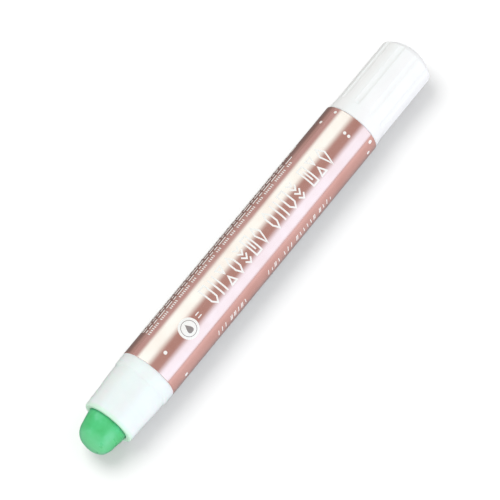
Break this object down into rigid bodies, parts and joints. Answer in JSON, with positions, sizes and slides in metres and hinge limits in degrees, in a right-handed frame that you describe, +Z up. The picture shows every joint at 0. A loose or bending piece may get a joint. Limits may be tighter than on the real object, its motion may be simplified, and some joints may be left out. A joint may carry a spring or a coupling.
{
  "type": "twist-up glue pen",
  "caption": "Twist-up glue pen with a slim round metallic barrel, tapered nozzle, domed glue stick and a fluted knob that feeds the glue by a screw.",
  "frame": {"origin": "on the pen axis at the middle of the barrel sleeve", "axes": "+X along the pen axis from the glue tip towards the twist knob, +Z up with the pen lying on its side, +Y completes the right-handed set"},
  "size_m": [0.1261, 0.015, 0.015],
  "materials": {
    "rose_metal": "polished rose-gold mirror metal with white print",
    "nozzle_plastic": "glossy milky plastic, slightly translucent, with a faint mint tint",
    "knob_plastic": "satin white moulded plastic",
    "glue": "waxy, slightly translucent solid glue",
    "inner_plastic": "plain white moulded plastic",
    "bearing_plastic": "natural low-friction plastic",
    "screw_plastic": "smooth natural low-friction plastic",
    "seal_rubber": "plain black rubber",
    "clip_steel": "bright spring steel"
  },
  "bodies": {
    "barrel": {"barrel_sleeve": "rose_metal", "guide_tube": "inner_plastic", "nozzle": "nozzle_plastic", "screw_bushing": "bearing_plastic"},
    "knob": {"twist_knob": "knob_plastic", "knob_hub": "screw_plastic", "lead_screw": "screw_plastic", "drag_ring": "seal_rubber", "retaining_clip": "clip_steel"},
    "carriage": {"glue_stick": "glue", "glue_carrier": "inner_plastic", "drive_nut": "bearing_plastic"}
  },
  "joints": [
    {"name": "knob_twist", "type": "hinge", "parent": "barrel", "child": "knob", "pos_m": [0, 0, 0], "axis": [-1, 0, 0], "range_deg": [-810.1, 3780.1]},
    {"name": "glue_feed", "type": "slide", "parent": "barrel", "child": "carriage", "axis": [-1, 0, 0], "range_m": [-0.009, 0.042]}
  ],
  "couplings": [
    {"joint": "knob_twist", "follows": "glue_feed", "rad_per_m": 1570.8}
  ]
}
